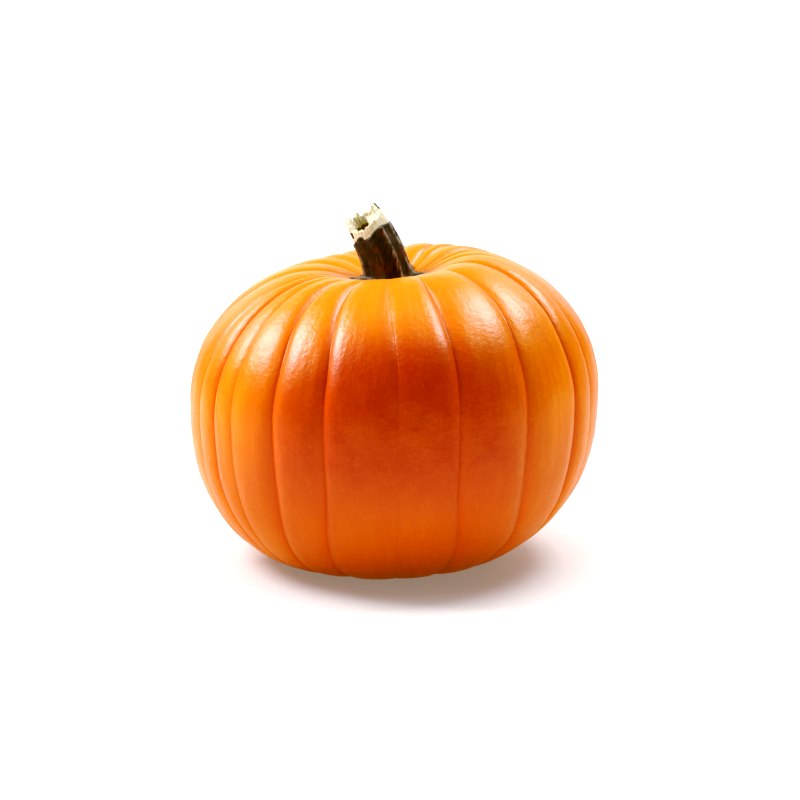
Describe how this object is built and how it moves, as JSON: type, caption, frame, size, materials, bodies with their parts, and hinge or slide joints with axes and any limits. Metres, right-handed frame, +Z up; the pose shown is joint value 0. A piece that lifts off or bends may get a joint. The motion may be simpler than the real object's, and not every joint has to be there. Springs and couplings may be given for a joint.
{
  "type": "pumpkin",
  "caption": "Round ribbed orange pumpkin with a sunken crown and a short dark ridged stem that leans to one side and ends in a pale broken tip.",
  "frame": {"origin": "middle of the underside of the object's box, on the surface that the pumpkin rests on", "axes": "+Z up, -Y towards the front, +X to the right; the stem leans towards -X"},
  "size_m": [0.2592, 0.2489, 0.2263],
  "materials": {
    "skin": "satin",
    "bark": "satin",
    "pith": "matte"
  },
  "bodies": {
    "root": {"fruit": "skin", "stem": "bark", "stem_end": "pith"}
  },
  "joints": []
}
